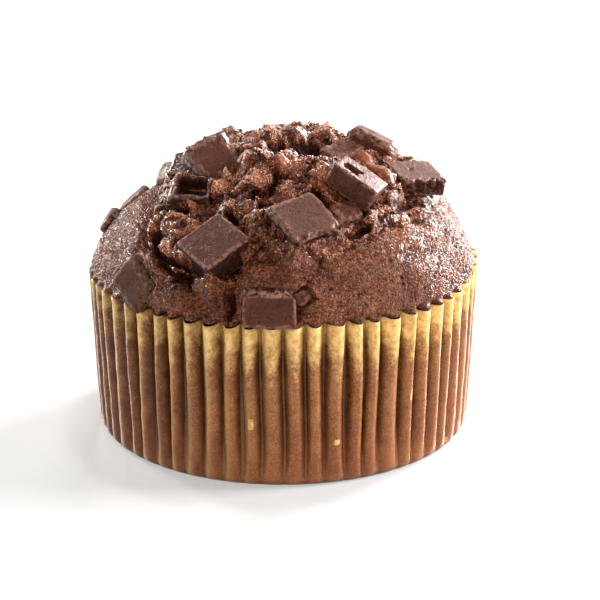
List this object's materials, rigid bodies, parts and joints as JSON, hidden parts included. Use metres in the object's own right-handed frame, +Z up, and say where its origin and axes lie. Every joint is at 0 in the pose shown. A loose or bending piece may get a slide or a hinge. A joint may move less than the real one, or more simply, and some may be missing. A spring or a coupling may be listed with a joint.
{
  "type": "chocolate muffin",
  "caption": "Round chocolate muffin with a craggy domed top, square chocolate chunks and a pleated golden-brown paper case; stands on its flat base.",
  "frame": {"origin": "centre of the flat base, on the axis of the paper case", "axes": "+Z up along the axis of the case, -Y towards the front, the side with the square chunks shown, +X to the right"},
  "size_m": [0.08, 0.0804, 0.0626],
  "materials": {
    "baking_paper": "matte",
    "chocolate_crumb": "matte",
    "dark_chocolate": "satin"
  },
  "bodies": {
    "root": {"paper_case": "baking_paper", "cake": "chocolate_crumb", "chunk_front_left": "dark_chocolate", "chunk_centre": "dark_chocolate", "chunk_rim_front": "dark_chocolate", "chunk_rim_left": "dark_chocolate", "chunk_top_left": "dark_chocolate", "chunk_hollow": "dark_chocolate", "chunk_left_upper": "dark_chocolate", "chunk_left_lower": "dark_chocolate", "chunk_far_left": "dark_chocolate", "chunk_left_shoulder": "dark_chocolate", "chunk_top_right": "dark_chocolate", "chunk_brick": "dark_chocolate", "chunk_far_right": "dark_chocolate", "chunk_buried": "dark_chocolate", "chunk_top_smear": "dark_chocolate", "chunk_rim_small": "dark_chocolate", "chunk_back_left": "dark_chocolate", "chunk_back_right": "dark_chocolate", "chunk_back_top": "dark_chocolate", "chunk_back_rim": "dark_chocolate", "chunk_back_low": "dark_chocolate", "chunk_right_low": "dark_chocolate"}
  },
  "joints": []
}
